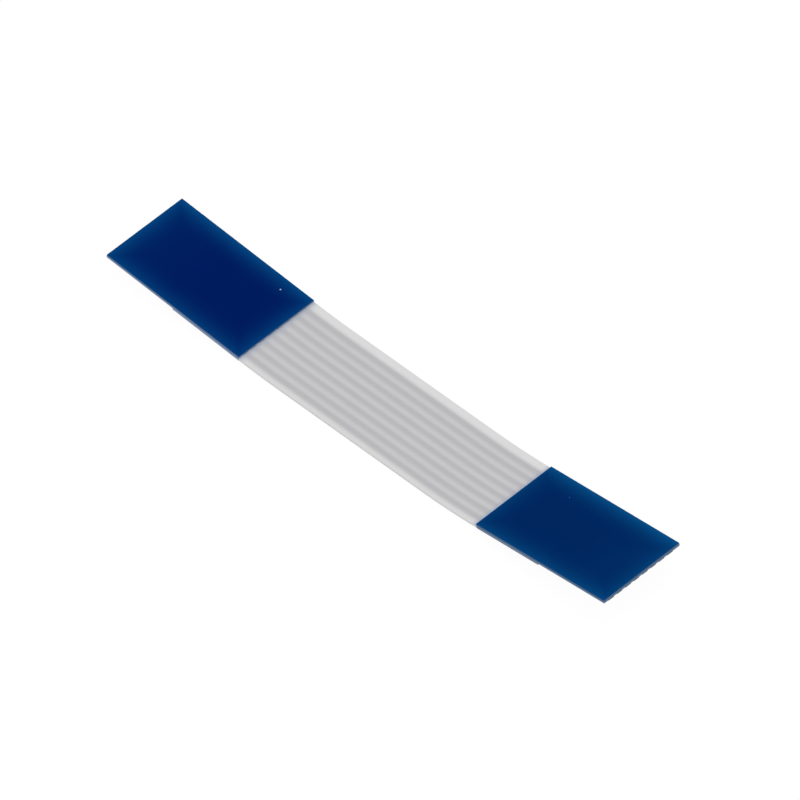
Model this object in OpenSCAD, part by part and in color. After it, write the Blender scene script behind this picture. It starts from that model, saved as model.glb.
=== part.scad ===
// Flat flex cable: flat tinned conductors laminated between two white films,
// with a blue stiffener bonded on top of each end and the contacts bare below.
// Lengths are in millimetres and angles in degrees. +X runs along the cable,
// +Y across it and +Z up. The cable lies on its level belly, with both ends
// bent up a little. Sections are drawn as [across, height] and the ends as
// [along, height], both from the plane in which the two films meet.

/* [Cable] */
// Length from tip to tip, measured along the bends
cable_len = 30; // [26:0.5:120]
// Number of conductors
ways = 8; // [4:1:16]
// Distance between the centres of neighbouring conductors
pitch = 0.5; // [0.5:0.05:1]
// Edge of the films to the centre of the first conductor, with the row centred
edge_margin = 0.5; // [0.4:0.05:1]
// Shift of the row of conductors off the centre line, towards +Y
row_shift = -0.08; // [-0.1:0.01:0.1]

/* [Conductors] */
// Width of one conductor
conductor_w = 0.32; // [0.25:0.01:0.4]
// Thickness of one conductor, sunk half into each film
conductor_t = 0.05; // [0.03:0.005:0.08]
// Length of bare conductor under each end
contact_len = 4; // [2:0.5:5]

/* [Films] */
// Thickness of each film over a conductor
film_t = 0.05; // [0.04:0.005:0.1]
// Depth to which each film sinks between two conductors
valley_depth = 0.02; // [0.005:0.005:0.03]
// Radius of the hollow in which it sinks
valley_r = 0.6; // [0.4:0.05:0.8]

/* [Stiffeners] */
// Length of the left stiffener
left_stiffener_len = 8; // [6:0.1:10]
// Length of the right stiffener
right_stiffener_len = 7.7; // [6:0.1:10]
// Thickness of both stiffeners
stiffener_t = 0.09; // [0.05:0.01:0.3]

/* [Bends] */
// Angle by which the left end is bent up, next to its stiffener
left_bend_angle = 4; // [0.5:0.1:10]
// Radius of the left bend
left_bend_r = 36; // [15:0.5:40]
// Angle by which the right end is bent up, next to its stiffener
right_bend_angle = 6.8; // [0.5:0.1:10]
// Radius of the right bend
right_bend_r = 27.5; // [15:0.5:40]

/* [Hidden] */
CONDUCTORS = [for (i = [1:ways]) str("conductor_", i)];
$fn = 360;

LEFT = -1;
RIGHT = 1;
ribbon_w = (ways - 1) * pitch + 2 * edge_margin;
sunk = conductor_t / 2;
crest = sunk + film_t;
overcut = 0.1;

function conductor_y(i) = (i - (ways + 1) / 2) * pitch + row_shift;
function stiffener_len(side) = side == LEFT ? left_stiffener_len : right_stiffener_len;
function bend_angle(side) = side == LEFT ? left_bend_angle : right_bend_angle;
function bend_r(side) = side == LEFT ? left_bend_r : right_bend_r;
function bend_len(side) = bend_r(side) * bend_angle(side) * PI / 180;

// Each bend starts at its stiffener, and the level belly between the bends
// takes up the rest of the length, in whole microns.
function end_len(side) = stiffener_len(side) + bend_len(side);
belly_len = round(1000 * (cable_len - end_len(LEFT) - end_len(RIGHT))) / 1000;

// Where a bend meets its stiffened end, as [x, z] from the belly's middle
function bend_end(side) = [
    side * (belly_len / 2 + bend_r(side) * sin(bend_angle(side))),
    bend_r(side) * (1 - cos(bend_angle(side)))
];

// A point of a stiffened end, as [x, z] from where its bend meets it
function end_point(side, along, height) = [
    side * (along * cos(bend_angle(side)) - height * sin(bend_angle(side))),
    along * sin(bend_angle(side)) + height * cos(bend_angle(side))
];

// The underside of the conductors is what reaches furthest at each tip, and
// the origin lies midway between the tips, at the height of the belly's crests.
function reach(side) = bend_end(side)[0] + end_point(side, stiffener_len(side), -sunk)[0];
belly_x = -(reach(LEFT) + reach(RIGHT)) / 2;

// ---- Sections across the cable ----

module conductor_section(i) {
    translate([conductor_y(i), 0]) square([conductor_w, conductor_t], center = true);
}

// What a film sinks by: a hollow beside every conductor, and both margins down
// to the level of the hollows' floors
module valleys() {
    floor_height = crest - valley_depth;
    for (i = [0:ways])
        translate([conductor_y(i) + pitch / 2, floor_height + valley_r]) circle(r = valley_r);
    for (side = [LEFT, RIGHT]) {
        edge = side * (ribbon_w / 2 + overcut);
        last_hollow = row_shift + side * ways * pitch / 2;
        translate([min(edge, last_hollow), floor_height])
            square([abs(edge - last_hollow), valley_depth + overcut]);
    }
}

// The upper film in the ribbon, and the lower one as its mirror image
module film_section() {
    difference() {
        translate([-ribbon_w / 2, 0]) square([ribbon_w, crest]);
        for (i = [1:ways]) conductor_section(i);
        valleys();
    }
}

// ---- The ribbon between the stiffeners ----

// Sweeps a section around a bend, from the belly to the stiffened end
module bend(side) {
    angle = bend_angle(side);
    radius = bend_r(side);
    translate([side * belly_len / 2, 0, radius])
        rotate([90, 0, 0])
            rotate_extrude(start = (side == LEFT ? -angle : 0) - 90, angle = angle)
                translate([radius, 0]) rotate(90) mirror([1, 0]) children();
}

// Sweeps a section along the belly and both bends
module ribbon() {
    translate([-belly_len / 2, 0, 0])
        rotate([90, 0, 90]) linear_extrude(height = belly_len) children();
    bend(LEFT) children();
    bend(RIGHT) children();
}

// ---- The stiffened ends ----

// Moves to [x, z] by whole hundredths and then by the rest, because a distance
// is written with six digits only
module at(place) {
    whole = [for (v = place) round(100 * v) / 100];
    remainder = place - whole;
    translate([whole[0], 0, whole[1]]) translate([remainder[0], 0, remainder[1]]) children();
}

// A flat strip of a stiffened end, from its bend outwards, between two heights
module end_strip(side, length, width, low, high) {
    outline = [
        end_point(side, 0, low),
        end_point(side, length, low),
        end_point(side, length, high),
        end_point(side, 0, high)
    ];
    at(bend_end(side))
        rotate([90, 0, 0]) linear_extrude(height = width, center = true) polygon(outline);
}

module conductor_end(side, i) {
    translate([0, conductor_y(i), 0])
        end_strip(side, stiffener_len(side), conductor_w, -sunk, sunk);
}

// Both films are pressed flat where a stiffener is bonded on.
module film_end(side, length, low, high) {
    difference() {
        end_strip(side, length, ribbon_w, low, high);
        for (i = [1:ways]) conductor_end(side, i);
    }
}

module stiffener(side) {
    end_strip(side, stiffener_len(side), ribbon_w, crest, crest + stiffener_t);
}

// ---- Pieces ----

// Stands a piece on its belly, with the origin midway between the tips
module rest() translate([belly_x, 0, crest]) children();

module upper_film() color("whitesmoke") rest() {
    ribbon() film_section();
    for (side = [LEFT, RIGHT]) film_end(side, stiffener_len(side), 0, crest);
}

// Ends short of both tips, so that the contacts lie bare
module lower_film() color("white") rest() {
    ribbon() mirror([0, 1]) film_section();
    for (side = [LEFT, RIGHT])
        film_end(side, stiffener_len(side) - contact_len, -crest, 0);
}

module conductor(i) color("silver") rest() {
    ribbon() conductor_section(i);
    for (side = [LEFT, RIGHT]) conductor_end(side, i);
}

module stiffener_left() color("midnightblue") rest() stiffener(LEFT);

module stiffener_right() color("midnightblue") rest() stiffener(RIGHT);

upper_film();
lower_film();
stiffener_left();
stiffener_right();
for (i = [1:ways]) {
    conductor(i);
}
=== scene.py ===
# Dresses the flat flex cable and sets it on a white floor in soft studio light.
# Lengths are in metres, in the part's own frame: +X along the cable, +Y across
# it and +Z up. Materials read positions in millimetres.
import math

import bpy
from mathutils import Matrix, Vector

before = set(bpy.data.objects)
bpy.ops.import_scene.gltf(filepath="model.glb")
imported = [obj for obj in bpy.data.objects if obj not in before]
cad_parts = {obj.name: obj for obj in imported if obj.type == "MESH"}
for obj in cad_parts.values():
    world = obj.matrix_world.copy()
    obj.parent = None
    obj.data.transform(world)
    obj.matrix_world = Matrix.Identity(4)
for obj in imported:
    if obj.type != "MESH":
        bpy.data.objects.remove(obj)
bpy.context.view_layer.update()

MM = 0.001


# ---- Camera ----

AZIMUTH = math.radians(47.84)
ELEVATION = math.radians(47.08)
ROLL = math.radians(3.65)
DISTANCE = 1.0
VIEW_WIDTH = 33.84 * MM
AIM = Vector((0.238, 0.2815, 0.931)) * MM


def make_camera():
    """Looks down at the cable from its side, through a long lens."""
    right = Vector((math.cos(AZIMUTH), math.sin(AZIMUTH), 0))
    forward = Vector((
        -math.sin(AZIMUTH) * math.cos(ELEVATION),
        math.cos(AZIMUTH) * math.cos(ELEVATION),
        -math.sin(ELEVATION),
    ))
    up = right.cross(forward)
    rolled_right = right * math.cos(ROLL) - up * math.sin(ROLL)
    rolled_up = right * math.sin(ROLL) + up * math.cos(ROLL)
    turn = Matrix((rolled_right, rolled_up, -forward)).transposed().to_4x4()

    data = bpy.data.cameras.new("camera")
    data.angle = 2 * math.atan(VIEW_WIDTH / 2 / DISTANCE)
    data.clip_start = 0.01
    data.clip_end = 20
    camera = bpy.data.objects.new("camera", data)
    camera.matrix_world = Matrix.Translation(AIM - forward * DISTANCE) @ turn
    bpy.context.scene.collection.objects.link(camera)
    bpy.context.scene.camera = camera


# ---- Building materials ----

def linear(*srgb):
    """A colour given as it looks on a screen, from 0 to 255."""
    parts = [c / 255 for c in srgb]
    return [c / 12.92 if c <= 0.04045 else ((c + 0.055) / 1.055) ** 2.4 for c in parts] + [1]


# Sockets of the Mix node that take and give colours
MIX_FIRST, MIX_SECOND, MIX_RESULT = 6, 7, 2


class Graph:
    """The nodes of one material, with its place and its normal ready to use."""

    def __init__(self, name):
        self.material = bpy.data.materials.new(name)
        self.material.use_nodes = True
        self.nodes = self.material.node_tree.nodes
        self.links = self.material.node_tree.links
        self.shader = self.nodes["Principled BSDF"]
        coords = self.nodes.new("ShaderNodeTexCoord")
        scaled = self.nodes.new("ShaderNodeVectorMath")
        scaled.operation = "SCALE"
        scaled.inputs["Scale"].default_value = 1 / MM
        self.links.new(coords.outputs["Object"], scaled.inputs[0])
        self.place = scaled.outputs["Vector"]
        self.x, self.y, _ = self.split(self.place)
        geometry = self.nodes.new("ShaderNodeNewGeometry")
        self.nx, self.ny, self.nz = self.split(geometry.outputs["Normal"])

    def split(self, vector):
        node = self.nodes.new("ShaderNodeSeparateXYZ")
        self.links.new(vector, node.inputs[0])
        return node.outputs

    def feed(self, value, socket):
        if isinstance(value, bpy.types.NodeSocket):
            self.links.new(value, socket)
        else:
            socket.default_value = value

    def math(self, operation, *values):
        node = self.nodes.new("ShaderNodeMath")
        node.operation = operation
        for value, socket in zip(values, node.inputs):
            self.feed(value, socket)
        return node.outputs[0]

    def ramp(self, value, low, high, start=0.0, end=1.0):
        """Goes smoothly from start to end as the value goes from low to high."""
        node = self.nodes.new("ShaderNodeMapRange")
        node.interpolation_type = "SMOOTHSTEP"
        for number, socket in zip((value, low, high, start, end), node.inputs):
            self.feed(number, socket)
        return node.outputs[0]

    def mix(self, factor, first, second):
        node = self.nodes.new("ShaderNodeMix")
        node.data_type = "RGBA"
        self.feed(factor, node.inputs["Factor"])
        self.feed(first, node.inputs[MIX_FIRST])
        self.feed(second, node.inputs[MIX_SECOND])
        return node.outputs[MIX_RESULT]

    def noise(self, size, detail=2.0, stretch=(1, 1, 1)):
        """Noise around 0, with features of about this size in millimetres."""
        scaled = self.nodes.new("ShaderNodeVectorMath")
        scaled.operation = "MULTIPLY"
        self.links.new(self.place, scaled.inputs[0])
        scaled.inputs[1].default_value = [1 / (size * s) for s in stretch]
        node = self.nodes.new("ShaderNodeTexNoise")
        node.inputs["Scale"].default_value = 1
        node.inputs["Detail"].default_value = detail
        self.links.new(scaled.outputs["Vector"], node.inputs["Vector"])
        return self.math("SUBTRACT", node.outputs["Fac"], 0.5)

    def brighten(self, color, amount):
        """Multiplies a colour by 1 + amount."""
        node = self.nodes.new("ShaderNodeVectorMath")
        node.operation = "SCALE"
        self.feed(color, node.inputs[0])
        self.feed(self.math("ADD", amount, 1), node.inputs["Scale"])
        return node.outputs["Vector"]

    def bump(self, height, depth):
        """Lets the height ripple the surface, to a depth in metres."""
        node = self.nodes.new("ShaderNodeBump")
        node.inputs["Strength"].default_value = 1
        node.inputs["Distance"].default_value = depth
        self.links.new(height, node.inputs["Height"])
        self.links.new(node.outputs["Normal"], self.shader.inputs["Normal"])

    def outside(self, component):
        """1 where the surface faces along this part of the normal, either way."""
        return self.ramp(self.math("ABSOLUTE", component), 0.6, 0.9)

    def color(self, value):
        self.feed(value, self.shader.inputs["Base Color"])


# ---- Measures that the materials follow, in millimetres ----

WAYS = 8
HALF_WIDTH = 2.25
ROW_SHIFT = -0.08
PITCH = 0.5
ROW_EDGE = 1.91           # outer edge of the last conductor, from the row's middle
LEFT_INNER = -6.978       # inner end of each stiffener
RIGHT_INNER = 7.312
RIBBON_MIDDLE = (LEFT_INNER + RIGHT_INNER) / 2
RIBBON_HALF = (RIGHT_INNER - LEFT_INNER) / 2
TIP = 14.96               # either tip, from the origin
SPECKS = [(-8.388, 1.654, 0.036), (9.276, 1.36, 0.01)]     # x, y and radius
SHEEN_REACH = 1.5           # how far the painted sheen along a stiffener's rim reaches inwards


# ---- Materials ----

def film_material():
    """White film: greyer over each conductor and whitest in the margins."""
    g = Graph("film")
    row_y = g.math("SUBTRACT", g.y, ROW_SHIFT)
    wave = g.math("COSINE", g.math("MULTIPLY", row_y, 2 * math.pi / PITCH))
    between = g.ramp(wave, -1.0, 1.0)
    row = g.mix(between, linear(185, 184, 187), linear(199, 199, 201))
    margin = g.mix(g.ramp(g.y, -1.9, 1.9), linear(215, 215, 215), linear(219, 219, 219))
    in_margin = g.ramp(g.math("ABSOLUTE", row_y), ROW_EDGE - 0.06, ROW_EDGE + 0.16)
    color = g.mix(in_margin, row, margin)
    # Painted bluish shade on the film's top, close beside the stiffeners.
    left_blue_shade = g.ramp(g.x, LEFT_INNER, LEFT_INNER + 0.4, 0.45, 0.0)
    right_blue_shade = g.ramp(g.x, RIGHT_INNER - 0.35, RIGHT_INNER, 0.0, 0.85)
    on_top = g.ramp(g.nz, 0.0, 0.5)
    blue_shade = g.math("MULTIPLY", g.math("MAXIMUM", left_blue_shade, right_blue_shade), on_top)
    color = g.mix(blue_shade, color, linear(160, 174, 198))
    # Its cut edges: white along the ribbon and bluish under the stiffeners
    cut = g.math("MAXIMUM", g.outside(g.ny), g.outside(g.nx))
    from_middle = g.math("ABSOLUTE", g.math("SUBTRACT", g.x, RIBBON_MIDDLE))
    bent = g.math("LESS_THAN", from_middle, RIBBON_HALF)
    end_color = g.mix(g.ramp(g.x, -1.0, 1.0), linear(130, 148, 178), linear(110, 130, 156))
    cut_color = g.mix(bent, end_color, linear(222, 222, 222))
    color = g.mix(cut, color, cut_color)
    under = g.ramp(g.nz, -0.6, -0.4, 1.0, 0.0)
    color = g.mix(g.math("MULTIPLY", under, 0.5), color, linear(214, 214, 214))
    mottle = g.math("MULTIPLY", g.noise(1.1), 0.03)
    grain = g.math("MULTIPLY", g.noise(0.09, 4), 0.03)
    g.color(g.brighten(color, g.math("ADD", mottle, grain)))
    g.feed(g.ramp(g.noise(0.8), -0.4, 0.4, 0.42, 0.6), g.shader.inputs["Roughness"])
    g.shader.inputs["Specular IOR Level"].default_value = 0.15
    g.bump(g.noise(0.12, 3), 0.0015 * MM)
    return g.material


def stiffener_material(name, ends, sheen_strengths, middle, sheen_color, cut_color):
    """Deep blue film, with a painted sheen along its rim, and greyer where it was cut.

    ends are the x of its inner end and of its tip; sheen_strengths give the painted
    sheen along its rim at the front, the tip and the inner end, against 1 at the back.
    """
    g = Graph(name)
    inner, tip = ends
    at_front, at_tip, at_inner = sheen_strengths
    to_side = g.math("SUBTRACT", HALF_WIDTH, g.math("ABSOLUTE", g.y))
    to_tip = g.math("ABSOLUTE", g.math("SUBTRACT", g.x, tip))
    to_inner = g.math("ABSOLUTE", g.math("SUBTRACT", g.x, inner))

    def sheen_falloff(distance, strength):
        """Painted sheen that falls from this strength to 0 over its reach."""
        left = g.math("SUBTRACT", 1, g.math("DIVIDE", distance, SHEEN_REACH))
        return g.math("MULTIPLY", g.math("POWER", g.math("MAXIMUM", left, 0), 3), strength)

    # Painted sheen: the top is lighter near its edges, most at the back, towards the lamp.
    side_sheen = g.ramp(g.y, -1.5, 1.5, at_front, 1.0)
    rim_sheen = g.math("MAXIMUM", sheen_falloff(to_side, side_sheen), sheen_falloff(to_tip, at_tip))
    rim_sheen = g.math("MAXIMUM", rim_sheen, sheen_falloff(to_inner, at_inner))
    outward = g.ramp(to_tip, 0.0, 4.0, 0.08, 0.0)
    factor = g.math("ADD", rim_sheen, outward)
    color = g.mix(factor, linear(*middle), linear(*sheen_color))
    mottle = g.math("MULTIPLY", g.noise(1.6, 3), 0.16)
    grain = g.math("MULTIPLY", g.noise(0.1, 3), 0.10)
    color = g.brighten(color, g.math("ADD", mottle, grain))
    cut = g.ramp(g.math("ABSOLUTE", g.nz), 0.5, 0.8, 1.0, 0.0)
    streak = g.math("MULTIPLY", g.noise(0.2, 2, (3, 3, 0.2)), 0.2)
    color = g.mix(cut, color, g.brighten(linear(*cut_color)[:3], streak))
    # White specks of dust
    for speck_x, speck_y, radius in SPECKS:
        dx = g.math("SUBTRACT", g.x, speck_x)
        dy = g.math("SUBTRACT", g.y, speck_y)
        square = g.math("ADD", g.math("MULTIPLY", dx, dx), g.math("MULTIPLY", dy, dy))
        speck = g.ramp(g.math("SQRT", square), radius * 0.6, radius * 1.4, 1.0, 0.0)
        color = g.mix(speck, color, linear(170, 184, 210))
    g.color(color)
    g.feed(g.ramp(g.noise(0.5), -0.4, 0.4, 0.5, 0.7), g.shader.inputs["Roughness"])
    g.shader.inputs["Specular IOR Level"].default_value = 0.002
    g.bump(g.noise(0.15, 3), 0.002 * MM)
    return g.material


def conductor_material():
    """Rolled, tinned copper, bright but dark where it was cut off."""
    g = Graph("conductor")
    streaks = g.noise(0.03, 3, (40, 1, 1))
    color = g.brighten(linear(203, 203, 200)[:3], g.math("MULTIPLY", streaks, 0.25))
    g.color(g.mix(g.outside(g.nx), color, linear(78, 72, 66)))
    g.shader.inputs["Metallic"].default_value = 1
    g.feed(g.ramp(streaks, -0.3, 0.3, 0.28, 0.42), g.shader.inputs["Roughness"])
    g.bump(streaks, 0.001 * MM)
    return g.material


def dress(material, *nodes):
    for node in nodes:
        mesh = bpy.data.objects[node].data
        mesh.materials.clear()
        mesh.materials.append(material)


# ---- Floor and light ----

FLOOR_SIZE = 3.0
FLOOR_GAP = 0.005 * MM    # keeps the floor off the cable's underside
FLOOR_GLOW = 1.03
GLOW_SHARE = 0.92         # the rest of the floor takes the shadow
WORLD_LIGHT = 0.865
LAMP_POWER = 0.97
LAMP_SIZE = 0.5
LAMP_PLACE = Vector((-0.25, 0.35, 0.7))


def seen_directly(nodes, links):
    """1 for rays from the camera, off a shiny surface or through a clear one."""
    path = nodes.new("ShaderNodeLightPath")
    total = path.outputs["Is Camera Ray"]
    for name in ("Is Glossy Ray", "Is Transmission Ray"):
        node = nodes.new("ShaderNodeMath")
        node.operation = "MAXIMUM"
        links.new(total, node.inputs[0])
        links.new(path.outputs[name], node.inputs[1])
        total = node.outputs[0]
    return total


def make_floor():
    """A white floor that still takes the cable's shadow."""
    bpy.ops.mesh.primitive_plane_add(size=FLOOR_SIZE, location=(0, 0, -FLOOR_GAP))
    floor = bpy.context.object
    floor.name = "floor"
    material = bpy.data.materials.new("floor")
    material.use_nodes = True
    nodes, links = material.node_tree.nodes, material.node_tree.links
    shader = nodes["Principled BSDF"]
    shader.inputs["Base Color"].default_value = (0.8, 0.8, 0.8, 1)
    shader.inputs["Roughness"].default_value = 0.9
    shader.inputs["Specular IOR Level"].default_value = 0
    glow = nodes.new("ShaderNodeEmission")
    glow.inputs["Color"].default_value = (1, 1, 1, 1)
    glow.inputs["Strength"].default_value = FLOOR_GLOW
    share = nodes.new("ShaderNodeMath")
    share.operation = "MULTIPLY"
    share.inputs[1].default_value = GLOW_SHARE
    links.new(seen_directly(nodes, links), share.inputs[0])
    mix = nodes.new("ShaderNodeMixShader")
    links.new(share.outputs[0], mix.inputs[0])
    links.new(shader.outputs[0], mix.inputs[1])
    links.new(glow.outputs[0], mix.inputs[2])
    # Seen from below, the floor is clear.
    clear = nodes.new("ShaderNodeBsdfTransparent")
    geometry = nodes.new("ShaderNodeNewGeometry")
    facing = nodes.new("ShaderNodeMixShader")
    links.new(geometry.outputs["Backfacing"], facing.inputs[0])
    links.new(mix.outputs[0], facing.inputs[1])
    links.new(clear.outputs[0], facing.inputs[2])
    links.new(facing.outputs[0], nodes["Material Output"].inputs["Surface"])
    floor.data.materials.append(material)


def make_world():
    """White where it is seen, and an even soft light on the cable."""
    world = bpy.data.worlds.new("world")
    bpy.context.scene.world = world
    world.use_nodes = True
    nodes, links = world.node_tree.nodes, world.node_tree.links
    background = nodes["Background"]
    background.inputs["Color"].default_value = (1, 1, 1, 1)
    strength = nodes.new("ShaderNodeMapRange")
    strength.inputs["To Min"].default_value = WORLD_LIGHT
    strength.inputs["To Max"].default_value = 1.0
    links.new(seen_directly(nodes, links), strength.inputs["Value"])
    links.new(strength.outputs[0], background.inputs["Strength"])


def make_lamp():
    """A big soft lamp, high up behind the cable."""
    data = bpy.data.lights.new("lamp", "AREA")
    data.energy = LAMP_POWER
    data.size = LAMP_SIZE
    lamp = bpy.data.objects.new("lamp", data)
    lamp.location = LAMP_PLACE
    lamp.rotation_euler = (-LAMP_PLACE).to_track_quat("-Z", "Y").to_euler()
    bpy.context.scene.collection.objects.link(lamp)


bpy.context.scene.view_settings.view_transform = "Standard"
make_camera()
make_floor()
make_world()
make_lamp()
dress(film_material(), "upper_film", "lower_film")
dress(stiffener_material("stiffener_left", (LEFT_INNER, -TIP), (0.64, 0.78, 0.62),
                         (0, 28, 94), (3, 72, 132), (98, 120, 154)), "stiffener_left")
dress(stiffener_material("stiffener_right", (RIGHT_INNER, TIP), (0.6, 0.45, 0.4),
                         (0, 39, 96), (4, 78, 134), (82, 108, 142)), "stiffener_right")
dress(conductor_material(), *[f"conductor_{i}" for i in range(1, WAYS + 1)])
